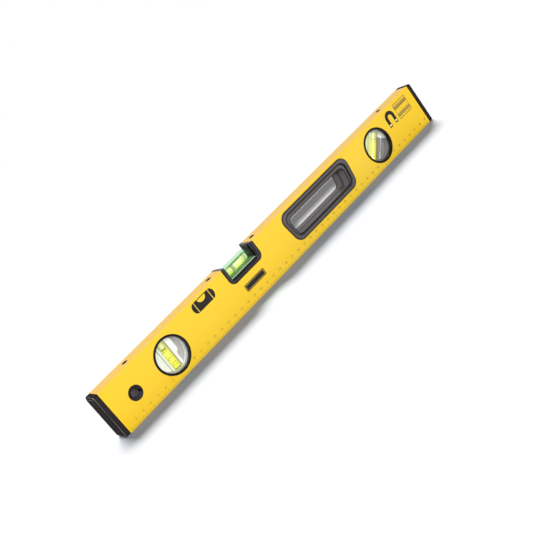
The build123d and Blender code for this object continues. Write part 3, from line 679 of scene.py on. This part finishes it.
class LevelSymbolSettings(bpy.types.PropertyGroup):
    """Symbols printed on the front."""

    ink: colour_property("Symbol ink", "Colour of the symbols", "120A0A")
    stripe_ink: colour_property("Stripe ink", "Colour of the striped panel", "482C06")
    pale: colour_property("Pale ink", "Colour of the magnet's tips", "F6E3A0")
    magnet_x: length_property("Magnet place", "Middle of the magnet symbol", 200.25)
    panel_x: length_property("Panel place", "Middle of the striped panel", 221.9)
    vial_x: length_property("Vial symbol place", "Middle of the vial symbol", -107.25)
    plate_x: length_property("Plate place", "Middle of the dark plate", -50.05)


class LevelStageSettings(bpy.types.PropertyGroup):
    """Camera, floor and lamps."""

    camera_place: FloatVectorProperty(
        name="Camera place", description="Where the camera stands", subtype="TRANSLATION",
        unit="LENGTH", size=3, default=(-0.4382, -0.8229, 0.2872))
    camera_aim: FloatVectorProperty(
        name="Camera direction", description="Azimuth, elevation and roll", subtype="EULER",
        unit="ROTATION", size=3, default=tuple(math.radians(a) for a in (26.60, -16.45, -37.63)))
    lens: FloatProperty(name="Lens", description="Focal length in mm on a 36 mm sensor",
                        default=64.18, min=1.0)
    floor: colour_property("Floor", "Colour of the floor", "FCFCFC")
    floor_share: share_property("Floor share", "Share of its colour that the floor shows", 0.28)
    floor_bounce: share_property("Floor bounce", "Share of its colour thrown on the level", 0.16)
    sky: strength_property("Sky", "Strength of the even light from all round", 0.26)
    front_lamp: strength_property("Front lamp", "Watts of the soft box in front", 27.5)
    back_lamp: strength_property("Back lamp", "Watts of the soft box behind", 15.0)
    top_lamp: strength_property("Top lamp", "Watts of the soft box overhead", 6.0)
    lamp_colour: colour_property("Lamp colour", "Colour of the front and back soft boxes", "FFFFFF")
    top_lamp_colour: colour_property("Top lamp colour", "Colour of the soft box overhead", "FFB888")
    floor_lamp: strength_property("Floor lamps", "Level of the floor's own lamps", 3.0)
    front_fill: strength_property("Front fill", "Level of the front floor's shadowless light", 0.62)
    front_fill_colour: FloatVectorProperty(
        name="Front fill colour", description="Cool, against the paint's glow", subtype="COLOR",
        size=3, min=0.0, max=1.0, default=(0.71, 0.81, 1.0))
    back_fill: strength_property("Back fill", "Level of the back floor's shadowless light", 0.48)
    shadow_slope: strength_property("Shadow slope", "Fall of light over the front", 1.488, 0.1)
    left_turn: angle_property("Left turn", "Lean of the front shadow at the left end", 12.0)
    right_turn: angle_property("Right turn", "Lean of the front shadow at the right end", 38.0)
    front_softness: angle_property("Front softness", "Spread of the lamps in front", 25.0)
    back_height: angle_property("Back height", "Height of the lamp for the floor behind", 21.3)
    back_heading: angle_property("Back heading", "Turn of its light from straight back", 31.5)
    back_softness: angle_property("Back softness", "Spread of that lamp", 6.6)


SETTINGS = {
    "level_paint": LevelPaintSettings,
    "level_plastic": LevelPlasticSettings,
    "level_vials": LevelVialSettings,
    "level_scale": LevelScaleSettings,
    "level_symbols": LevelSymbolSettings,
    "level_stage": LevelStageSettings,
}


# ------------------------------------------------------------------ operators

class LEVEL_OT_body(bpy.types.Operator):
    """Finish the painted body, its screws, magnets and the hidden bracket and cups"""

    bl_idname = "level.body"
    bl_label = "Body"

    def execute(self, context):
        plastics = context.scene.level_plastic
        paint = powder_coated_aluminium(context.scene.level_paint)
        steel = worked_metal("black_oxide_steel", linear(BLACK_OXIDE), 0.85, 0.4 * MM, bare=0.0)
        nickel = worked_metal("nickel_plate", linear(NICKEL), 0.25, 0.5 * MM)
        hidden = moulded_plastic("moulded_nylon", plastics, plastics.saddle, 0.5)
        finish_nodes("body_paint", paint, "body_tube")
        finish_nodes("screw_steel", steel, "vial_fixing_screws")
        finish_nodes("magnet_nickel", nickel, "base_magnets")
        finish_nodes("inner_plastic", hidden, "top_vial_bracket", "magnet_cups")
        return {"FINISHED"}


class LEVEL_OT_caps_and_grip(bpy.types.Operator):
    """Finish the end caps, the hand hole liner and the hanging bush"""

    bl_idname = "level.caps_and_grip"
    bl_label = "Caps, grip and bush"

    def execute(self, context):
        plastics = context.scene.level_plastic
        cap = moulded_plastic("moulded_polypropylene", plastics, plastics.cap, 0.7, shine=0.01,
                              darkest=0.3, reach=0.9 * MM, hollow=2.5 * MM,
                              highlighted=plastics.cap_rim)
        grip = moulded_plastic("moulded_abs", plastics, plastics.grip, 0.38, shine=0.16,
                               darkest=0.05)
        bush = moulded_plastic("satin_abs", plastics, plastics.bush, 0.34, shine=0.12,
                               darkest=0.0, reach=0.8 * MM, hollow=5.0 * MM)
        finish_nodes("cap_plastic", cap, "left_end_cap", "right_end_cap")
        finish_nodes("grip_plastic", grip, "hand_grip_front", "hand_grip_back")
        finish_nodes("frame_plastic", bush, "hanging_bush_front", "hanging_bush_back")
        return {"FINISHED"}


class LEVEL_OT_round_windows(bpy.types.Operator):
    """Finish the plumb and the diagonal window and everything in them"""

    bl_idname = "level.round_windows"
    bl_label = "Round windows"

    def execute(self, context):
        plastics = context.scene.level_plastic
        vials = context.scene.level_vials
        ring = moulded_plastic("satin_abs_ring", plastics, plastics.ring, 0.35, shine=0.25)
        clear = clear_moulding("polished_acrylic", linear(CLEAR), vials.clear)
        # Painted light: the tubes glow with the dye's colour
        tube = clear_moulding("blown_acrylic_tube", linear(CLEAR), vials.tube_edge,
                              vials.tube_dye, 0.6)
        yellow = dyed_spirit("yellow_spirit", vials.yellow, 0.35, 0.22, vials.yellow_deep)
        # Painted light: the clear plugs are drawn in a pale dye colour and glow
        stopper = dyed_spirit("spirit_lit_plug", vials.plug, 0.25, 1.0, vials.yellow_rim)
        ink = screen_print("vial_line_ink", vials.line, 0.0)
        highlight_bar = moulded_plastic("white_abs_highlight_bar", plastics, plastics.land, 0.3)
        low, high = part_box("plumb_liquid")
        level = node_centre("plumb_bezel_front").z
        # Painted light and shade: a lit and a shaded copy of the same backing grey
        windows = (("plumb", 0.0, plastics.plumb_backing),
                   ("diagonal", math.radians(45), plastics.backing))
        for unit, tilt, backing in windows:
            u, v = tilted(tilt)
            centre = node_centre(f"{unit}_bezel_front")
            centre.y = 0.0
            white = carrier_plastic(f"white_abs_{unit}", plastics, centre, tilt, tilt > 0)
            grey = moulded_plastic(f"grey_abs_{unit}", plastics, backing, 0.35, 0.05)
            air = air_pocket(f"air_bubble_{unit}", vials.yellow_air, vials.yellow_rim,
                             f"{unit}_bubble", v)
            for side in ("front", "back"):
                finish_nodes("frame_plastic", ring, f"{unit}_bezel_{side}")
                finish_nodes("clear_acrylic", clear, f"{unit}_lens_{side}")
            finish_nodes("white_plastic", white, f"{unit}_carrier")
            finish_nodes("grey_plastic", grey, f"{unit}_backing")
            finish_nodes("clear_acrylic", tube, f"{unit}_vial")
            finish_nodes("clear_acrylic", stopper, f"{unit}_vial_plug")
            finish_nodes("air", air, f"{unit}_bubble")
            finish_nodes("line_ink", ink, f"{unit}_lines")
            vertices, faces = column(centre + v * (low.z - level), centre + v * (high.z - level),
                                     (high.x - low.x) / 2)
            spirit = make_piece(f"{unit}_spirit", vertices, faces, yellow, "yellow_liquid", True)
            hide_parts(f"{unit}_liquid")
            # Painted highlight: a white bar along the diagonal carrier
            if tilt:
                self.ribs(unit, centre, u, v, highlight_bar)
        return {"FINISHED"}

    def ribs(self, unit, centre, u, v, material):
        """A white bar on each face of the carrier, standing in for a thin highlight line there: a
        painted highlight. It runs along v and is rounded at its crest.

        Its section is a half ellipse over a straight foot: u = place + width / 2 * cos t, and
        y = foot + (crest - foot) * (0.6 + 0.4 * sin t)."""
        place, width, low, high = 8.6 * MM, 0.9 * MM, -12.7 * MM, 13.2 * MM
        foot, crest = 1.1 * MM, 3.1 * MM
        t = np.radians(np.linspace(0, 180, 13))
        along = np.concatenate([[width / 2], width / 2 * np.cos(t), [-width / 2]])
        rise = np.concatenate([[foot], foot + (crest - foot) * (0.6 + 0.4 * np.sin(t)), [foot]])
        count = len(along)
        i = np.arange(count)
        j = (i + 1) % count
        quads = np.column_stack([i, j, j + count, i + count])
        vertices, faces, start = [], [], 0
        for side in (-1, 1):
            section = (np.array(centre) + (place + along)[:, None] * np.array(u)
                       + side * rise[:, None] * np.array((0.0, 1.0, 0.0)))
            vertices += [section + end * np.array(v) for end in (low, high)]
            loops = [*quads, i[::-1], i + count]
            faces += [tuple(loop[::side] + start) for loop in loops]
            start += 2 * count
        make_piece(f"{unit}_rib", np.vstack(vertices), faces, material, "white_plastic")


# Heights across the top vial's column and the colours painted there for how its block bends the
# light: painted shade as a duller line along the underside, the pale dye, a painted highlight as a
# white band, and a green line along the top.
GREEN_LIGHT_BANDS = ((0.0, "C6CE78"), (0.05, "F2EE96"), (0.11, "FFF8A0"), (0.50, "FFF8AE"),
               (0.64, "FFFAE0"), (0.76, "FFFDFA"), (0.86, "FFFAF0"), (0.91, "7CAC36"),
               (1.0, "5C9A2C"))


class LEVEL_OT_top_vial(bpy.types.Operator):
    """Finish the block vial in the top face and its saddle"""

    bl_idname = "level.top_vial"
    bl_label = "Top vial"

    def execute(self, context):
        plastics = context.scene.level_plastic
        vials = context.scene.level_vials
        low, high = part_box("top_vial_liquid")
        middle, radius = (low + high) / 2, (high.z - low.z) / 2
        saddle = moulded_plastic("satin_abs_saddle", plastics, plastics.saddle, 0.3, shine=0.2,
                                 darkest=0.05)
        strip = moulded_plastic("grey_green_strip", plastics, vials.strip, 0.5, 0.1)
        block = clear_moulding("cast_acrylic_block", vials.block, vials.block_edge)
        plug = clear_moulding("acrylic_plug", linear(CLEAR_PLUG), vials.block_edge)
        green = dyed_spirit("green_spirit", vials.green, 0.3, 0.5, bands=GREEN_LIGHT_BANDS,
                            middle=middle.z, radius=radius)
        air = air_pocket("air_in_green", vials.green_air, vials.green_rim, "top_vial_bubble",
                         Vector((1.0, 0.0, 0.0)))
        ink = screen_print("top_line_ink", vials.line, 0.0)
        finish_nodes("frame_plastic", saddle, "top_vial_saddle")
        finish_nodes("white_plastic", strip, "top_vial_reflector")
        finish_nodes("block_acrylic", block, "top_vial_block")
        finish_nodes("clear_acrylic", plug, "top_vial_plug")
        finish_nodes("air", air, "top_vial_bubble")
        finish_nodes("line_ink", ink, "top_vial_lines")
        ends = [Vector((x, middle.y, middle.z)) for x in (low.x, high.x)]
        spirit = make_piece("top_vial_spirit", *column(*ends, radius), green, "green_liquid", True)
        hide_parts("top_vial_liquid")
        return {"FINISHED"}


class LEVEL_OT_scale(bpy.types.Operator):
    """Print the centimetre scale along the lower edge of the front"""

    bl_idname = "level.scale"
    bl_label = "Scale"

    TICK_MARGIN = 2 * MM
    LEFT_MARGIN = 4 * MM
    RIGHT_MARGIN = 3 * MM

    def execute(self, context):
        s = context.scene.level_scale
        ink = screen_print("scale_ink", s.ink, 0.12)
        margin = BODY_LOW.x + self.TICK_MARGIN
        steps = np.arange(1, s.centimetres * 10 + 1)
        places = CAD_LOW.x + steps * MM
        keep = (places > margin) & (places < -margin)
        steps, places = steps[keep], places[keep]
        lengths = np.where(steps % 10 == 0, s.long_tick,
                           np.where(steps % 5 == 0, s.middle_tick, s.short_tick))
        half = s.tick_width / 2
        low = BASE + s.tick_start
        outlines = [box_outline(x - half, x + half, low, low + length)
                    for x, length in zip(places, lengths)]
        make_piece("scale_ticks", *prisms(outlines, FRONT, s.print_depth), ink, "line_ink")
        self.numbers(s, ink)
        return {"FINISHED"}

    def numbers(self, s, ink):
        """One mesh for all the numbers: each is set as text, made a mesh and laid on the front."""
        turn = Matrix.Rotation(math.pi / 2, 4, "X")
        capital_height = 0.72
        vertices, faces, start = [], [], 0
        for number in range(1, s.centimetres + 1):
            x = CAD_LOW.x + number * 10 * MM
            if x < BODY_LOW.x + self.LEFT_MARGIN or x > BODY_HIGH.x - self.RIGHT_MARGIN:
                continue
            curve = bpy.data.curves.new("number", "FONT")
            curve.body = str(number)
            curve.size = s.number_height / capital_height
            curve.align_x = curve.align_y = "CENTER"
            curve.resolution_u = 3
            curve.extrude = s.print_depth / 2
            holder = add_object("number", curve)
            bpy.context.view_layer.update()
            depsgraph = bpy.context.evaluated_depsgraph_get()
            mesh = bpy.data.meshes.new_from_object(holder.evaluated_get(depsgraph))
            place = Vector((x - s.number_shift, FRONT - s.print_depth / 2, BASE + s.number_level))
            mesh.transform(Matrix.Translation(place) @ turn)
            count = len(mesh.vertices)
            flat = np.zeros(count * 3)
            mesh.vertices.foreach_get("co", flat)
            vertices.append(flat.reshape(-1, 3))
            faces.extend(tuple(v + start for v in loop.vertices) for loop in mesh.polygons)
            start += count
            bpy.data.objects.remove(holder)
            bpy.data.meshes.remove(mesh)
            bpy.data.curves.remove(curve)
        make_piece("scale_numbers", np.vstack(vertices), faces, ink, "line_ink")


class LEVEL_OT_symbols(bpy.types.Operator):
    """Print the magnet, the striped panel, the vial symbol and the plain dark plate"""

    bl_idname = "level.symbols"
    bl_label = "Symbols"

    DEPTH = 0.03 * MM

    def execute(self, context):
        s = context.scene.level_symbols
        dark = screen_print("symbol_ink", s.ink, 0.05)
        brown = screen_print("stripe_ink", s.stripe_ink, 0.15)
        pale = screen_print("pale_ink", s.pale, 0.05)
        self.magnet(s.magnet_x, dark, pale)
        self.panel(s.panel_x, brown)
        self.vial_symbol(s.vial_x, dark)
        self.plate(s.plate_x, dark)
        return {"FINISHED"}

    def print_shapes(self, name, outlines, material, front=FRONT):
        """Prints outlines on the front, or on the print that is there already."""
        make_piece(name, *prisms(outlines, front, self.DEPTH), material, "line_ink")

    def magnet(self, x, dark, pale):
        """Horseshoe: half an annulus on two legs, as quads between its outer and inner edges."""
        z, outer, inner, foot = 37.25 * MM, 7.25 * MM, 3.1 * MM, 27.4 * MM
        rim = np.vstack([[(x + outer, foot)], arc(x, z, outer, 0, 180, 25), [(x - outer, foot)]])
        bore = np.vstack([[(x + inner, foot)], arc(x, z, inner, 0, 180, 25), [(x - inner, foot)]])
        quads = [np.array([bore[i], rim[i], rim[i + 1], bore[i + 1]]) for i in range(len(rim) - 1)]
        self.print_shapes("magnet_symbol", quads, dark)
        tip, low, high = 1.35 * MM, 28.8 * MM, 31.0 * MM
        middles = [x + side * (outer + inner) / 2 for side in (-1, 1)]
        tips = [box_outline(middle - tip, middle + tip, low, high) for middle in middles]
        self.print_shapes("magnet_symbol_tips", tips, pale, FRONT - self.DEPTH)

    def panel(self, x, brown):
        """Stack of stripes between a top and a bottom line, with thin sides."""
        half, line, foot, top = 10.8 * MM, 0.2 * MM, 26.8 * MM, 45.1 * MM
        rows = ((44.5, 45.1), (43.2, 43.4), (41.0, 42.2), (38.9, 40.3), (37.6, 37.8),
                (34.4, 34.6), (31.8, 33.0), (29.9, 31.0), (28.7, 28.9), (26.8, 27.4))
        outlines = [box_outline(x - half, x + half, low * MM, high * MM) for low, high in rows]
        for side in (-1, 1):
            edge = x + side * half
            outlines.append(box_outline(edge - line, edge + line, foot, top))
        self.print_shapes("striped_panel", outlines, brown)

    def vial_symbol(self, x, dark):
        """A vial seen from the side: half-elliptic ends and a body cut out by a round bubble.

        An end is x = x0 + a cos t, z = middle + b sin t, with t from -90 to 90 degrees. The
        bubble's rim is the lower half of an ellipse under the body's top line."""
        low, high = 34.4 * MM, 46.0 * MM
        middle, half = (low + high) / 2, (high - low) / 2
        body_half, end_half, end_length = 9.5 * MM, 10.3 * MM, 4.5 * MM
        bubble_radius, bubble_depth, top = 5.3 * MM, 4.6 * MM, high - 0.8 * MM
        outlines = []
        for side in (-1, 1):
            t = np.radians(np.linspace(-90, 90, 25))
            rim = np.column_stack([x + side * (end_half + end_length * np.cos(t)),
                                   middle + half * np.sin(t)])
            outlines.append(rim if side > 0 else rim[::-1])
            inner, outer = sorted((x + side * bubble_radius, x + side * body_half))
            outlines.append(box_outline(inner, outer, low, high))
        count = 24
        t = np.radians(np.linspace(180, 360, count + 1))
        rim = np.column_stack([x + bubble_radius * np.cos(t), top + bubble_depth * np.sin(t)])
        outlines += [np.array([(a[0], low), (b[0], low), b, a]) for a, b in zip(rim, rim[1:])]
        outlines.append(box_outline(x - bubble_radius, x + bubble_radius, top, high))
        self.print_shapes("vial_symbol", outlines, dark)

    def plate(self, x, dark):
        """Rounded dark plate with a thin bare line just inside its rim."""
        half, low, high = 14.4 * MM, 13.8 * MM, 21.2 * MM
        inset, line = 0.9 * MM, 0.35 * MM
        outer, cut, centre = (
            rounded_outline(x - half + by, x + half - by, low + by, high - by, corner)
            for by, corner in ((0.0, 1.2 * MM), (inset, 0.7 * MM), (inset + line, 0.5 * MM)))
        after = [(i + 1) % len(outer) for i in range(len(outer))]
        rim = [np.array([outer[i], outer[j], cut[j], cut[i]]) for i, j in enumerate(after)]
        self.print_shapes("front_plate", [*rim, centre], dark)


class LEVEL_OT_stage(bpy.types.Operator):
    """Lay the floor, hang the lamps and set up the camera"""

    bl_idname = "level.stage"
    bl_label = "Stage"

    def execute(self, context):
        s = context.scene.level_stage
        material = self.floor_material(s)
        reach, middle = 6.0, BODY_HIGH.y
        sheets = [self.sheet("floor_front_left", (-reach, 0.0), (-reach, middle), material),
                  self.sheet("floor_front_right", (0.0, reach), (-reach, middle), material),
                  self.sheet("floor_back", (-reach, reach), (middle, reach), material)]
        self.sky(context, s)
        self.lamps(s, sheets)
        self.camera(context, s)
        context.scene.view_settings.view_transform = "Standard"
        return {"FINISHED"}

    def sheet(self, name, across, along, material):
        """Flat sheet at the height of the base: z = base over a grid of x and y."""
        count = 9
        u, v = np.meshgrid(np.linspace(*across, count), np.linspace(*along, count))
        vertices = np.column_stack([u.ravel(), v.ravel(), np.full(u.size, BASE)])
        i = (np.arange(count - 1)[:, None] * count + np.arange(count - 1)[None, :]).ravel()
        faces = np.column_stack([i, i + 1, i + count + 1, i + count]).tolist()
        floor = mesh_object(name, vertices, faces, material)
        return floor

    def floor_material(self, s):
        """Matt sheet under lamps of its own; it throws less back at the level than is seen."""
        material, tree, _ = new_material("pale_studio_floor")
        rays = add_node(tree, "ShaderNodeLightPath")
        seen, thrown = (tuple(c * share for c in s.floor)
                        for share in (s.floor_share, s.floor_bounce))
        tint = add_node(tree, *MIX, {
            "Factor": rays.outputs["Is Camera Ray"], FIRST: rgba(thrown), SECOND: rgba(seen)})
        return surfaced(material, add_node(tree, "ShaderNodeBsdfDiffuse", inputs={
            "Color": tint.outputs[MIXED]}))

    def sky(self, context, s):
        """Even light from all round, seen as white by the camera, in gloss and through glass."""
        world = bpy.data.worlds.new("studio")
        context.scene.world = world
        world.use_nodes = True
        tree = world.node_tree
        tree.nodes.clear()
        rays = add_node(tree, "ShaderNodeLightPath").outputs
        shown = add_node(tree, *MAXIMUM, {0: rays["Is Camera Ray"], 1: rays["Is Glossy Ray"]})
        shown = add_node(tree, *MAXIMUM, {0: shown, 1: rays["Is Transmission Ray"]})
        strength = add_node(tree, *RAMP, {"Value": shown, **span(0.0, 1.0, s.sky, 1.0)})
        light = add_node(tree, "ShaderNodeBackground",
                         inputs={"Color": WHITE, "Strength": strength})
        add_node(tree, "ShaderNodeOutputWorld", inputs={"Surface": light})

    def lamps(self, s, sheets):
        """Soft boxes for the level alone, and lamps for each sheet of floor, for its shadows.

        A lamp's height is atan(slope * cos turn), so that the shadow in front is equally deep
        for any turn. Sizes and places are in metres."""
        left, right, back_sheet = sheets
        wide, long = (1.3, 0.8), (1.6, 0.5)
        self.soft_box("front_soft_box", s.front_lamp, s.lamp_colour, wide,
                      Vector((-0.32, -1.6, 0.72)), sheets)
        back = self.soft_box("back_soft_box", s.back_lamp, s.lamp_colour, wide,
                             Vector((-0.9, 1.3, 0.55)), sheets)
        top = self.soft_box("top_soft_box", s.top_lamp, s.top_lamp_colour, long,
                            Vector((0.0, 0.45, 1.5)), sheets)
        back.visible_glossy = top.visible_glossy = False
        for sheet, turn in ((left, s.left_turn), (right, s.right_turn)):
            height = math.atan(s.shadow_slope * math.cos(turn))
            self.floor_sun(f"{sheet.name}_lamp", s.floor_lamp, height, math.pi + turn,
                           s.front_softness, sheet)
        self.floor_sun("floor_back_lamp", s.floor_lamp, s.back_height, s.back_heading,
                       s.back_softness, back_sheet)
        for sheet, level, colour in ((left, s.front_fill, s.front_fill_colour),
                                     (right, s.front_fill, s.front_fill_colour),
                                     (back_sheet, s.back_fill, WHITE[:3])):
            fill = self.floor_sun(f"{sheet.name}_fill_lamp", level, math.pi / 2, 0.0, 0.0, sheet)
            fill.data.color = colour
            fill.data.use_shadow = False

    def soft_box(self, name, power, colour, size, place, spared):
        """A rectangular lamp aimed at the level, which leaves the spared objects unlit."""
        box = bpy.data.lights.new(name, "AREA")
        box.shape = "RECTANGLE"
        box.size, box.size_y = size
        box.energy = power
        box.color = colour
        return self.hang(box, place, Vector((0.0, 0.0, 0.02)), spared, "EXCLUDE")

    def floor_sun(self, name, level, height, heading, spread, floor):
        """A distant lamp at a height and heading; a level of 1 lights the floor plainly."""
        sun = bpy.data.lights.new(name, "SUN")
        sun.energy = level * math.pi / math.sin(height)
        sun.angle = spread
        travel = Vector((math.sin(heading) * math.cos(height),
                         math.cos(heading) * math.cos(height), -math.sin(height)))
        return self.hang(sun, -travel, Vector((0.0, 0.0, 0.0)), (floor,), "INCLUDE")

    def hang(self, light, place, target, objects, state):
        """Places a lamp, aims it, and links its light to the objects or keeps it off them."""
        lamp = add_object(light.name, light)
        lamp.location = place
        lamp.rotation_mode = "QUATERNION"
        lamp.rotation_quaternion = (target - place).to_track_quat("-Z", "Y")
        group = bpy.data.collections.new(light.name + "_receivers")
        for item in objects:
            group.objects.link(item)
        lamp.light_linking.receiver_collection = group
        for linked in group.collection_objects:
            linked.light_linking.link_state = state
        return lamp

    def camera(self, context, s):
        """Looks along azimuth and elevation, then rolls about that line."""
        azimuth, elevation, roll = s.camera_aim
        forward = Vector((math.sin(azimuth) * math.cos(elevation),
                          math.cos(azimuth) * math.cos(elevation), math.sin(elevation)))
        right = forward.cross(Vector((0.0, 0.0, 1.0))).normalized()
        across = math.cos(roll) * right + math.sin(roll) * right.cross(forward)
        upward = across.cross(forward)
        lens = bpy.data.cameras.new("camera")
        lens.sensor_width = 36.0
        lens.lens = s.lens
        lens.clip_start, lens.clip_end = 0.01, 50.0
        camera = add_object("camera", lens)
        turn = Matrix((across, upward, -forward)).transposed().to_4x4()
        camera.matrix_world = Matrix.Translation(Vector(s.camera_place)) @ turn
        context.scene.camera = camera


OPERATORS = (LEVEL_OT_body, LEVEL_OT_caps_and_grip, LEVEL_OT_round_windows, LEVEL_OT_top_vial,
             LEVEL_OT_scale, LEVEL_OT_symbols, LEVEL_OT_stage)


class LEVEL_PT_sidebar(bpy.types.Panel):
    """Buttons for each group of pieces, with their sizes and colours"""

    bl_label = "Spirit Level"
    bl_idname = "LEVEL_PT_sidebar"
    bl_space_type = "VIEW_3D"
    bl_region_type = "UI"
    bl_category = "Spirit Level"

    def draw(self, context):
        for operator in OPERATORS:
            self.layout.operator(operator.bl_idname)
        for name, group in SETTINGS.items():
            settings = self.layout.box()
            settings.label(text=group.__doc__)
            for key in group.__annotations__:
                settings.prop(getattr(context.scene, name), key)


def register():
    """Registers the settings on the scene, the operators and the panel."""
    for name, group in SETTINGS.items():
        bpy.utils.register_class(group)
        setattr(bpy.types.Scene, name, PointerProperty(type=group))
    for cls in (*OPERATORS, LEVEL_PT_sidebar):
        bpy.utils.register_class(cls)


def unregister():
    """Takes them away again."""
    for cls in (LEVEL_PT_sidebar, *reversed(OPERATORS)):
        bpy.utils.unregister_class(cls)
    for name, group in reversed(SETTINGS.items()):
        delattr(bpy.types.Scene, name)
        bpy.utils.unregister_class(group)


def main():
    """Runs every operator in order."""
    register()
    bpy.ops.level.body()
    bpy.ops.level.caps_and_grip()
    bpy.ops.level.round_windows()
    bpy.ops.level.top_vial()
    bpy.ops.level.scale()
    bpy.ops.level.symbols()
    bpy.ops.level.stage()


if __name__ == "__main__":
    main()
